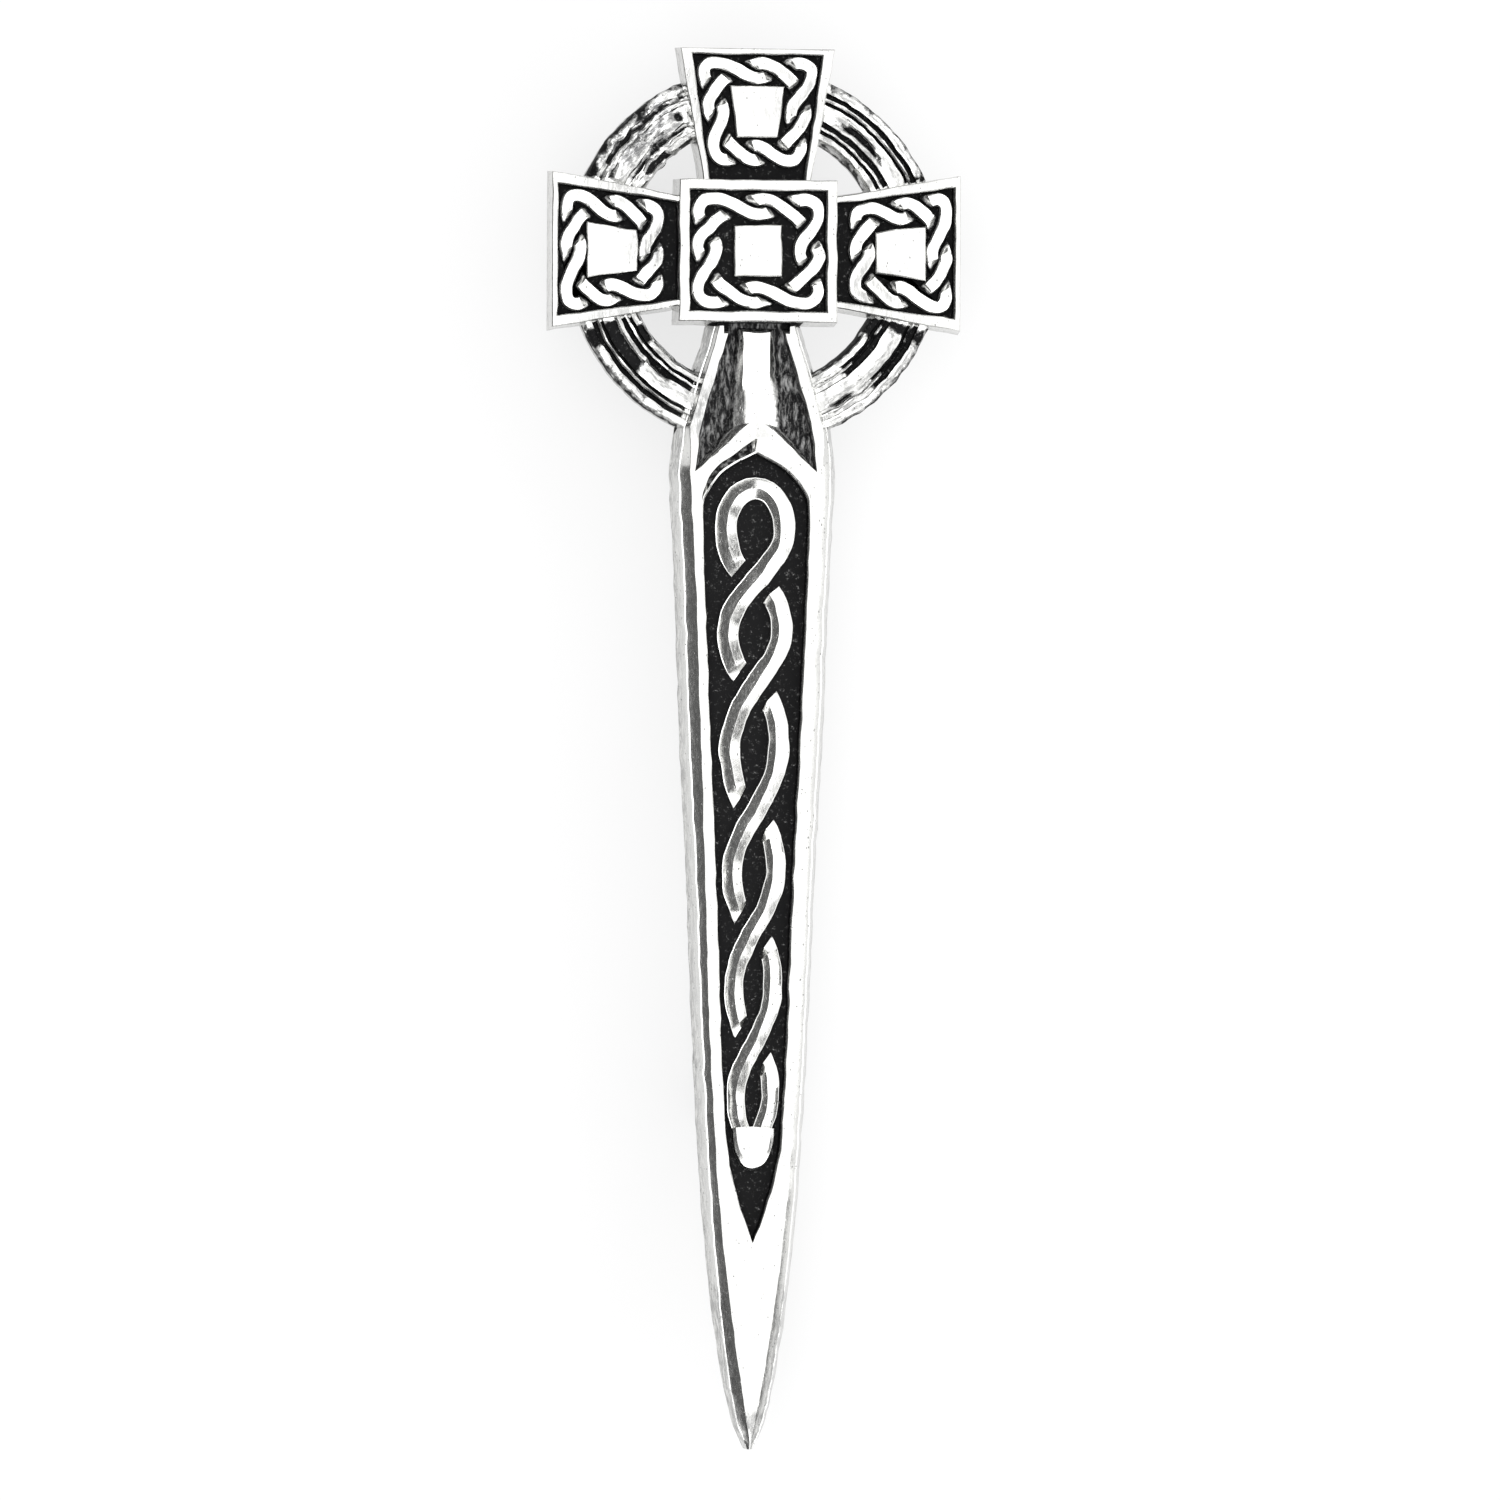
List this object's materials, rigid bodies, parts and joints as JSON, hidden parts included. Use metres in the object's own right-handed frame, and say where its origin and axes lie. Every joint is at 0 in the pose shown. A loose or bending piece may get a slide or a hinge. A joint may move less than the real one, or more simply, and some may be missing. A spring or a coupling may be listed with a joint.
{
  "type": "kilt pin",
  "caption": "Kilt pin: a ring-headed cross on a long dagger blade, with raised interlace in sunk panels and a bar clasp with a stem and catch on its back.",
  "frame": {"origin": "on the surface that the pin lies on, under the middle of its length and width", "axes": "+X across the pin towards the arm on the right, +Y towards the top of the cross, +Z out of the face"},
  "size_m": [0.0296, 0.1, 0.0102],
  "materials": {
    "cast_silver": "polished cast pewter with blackened recesses",
    "clasp_steel": "plain drawn and pressed steel"
  },
  "bodies": {
    "root": {"cross_casting": "cast_silver", "pin_clasp": "clasp_steel"}
  },
  "joints": []
}
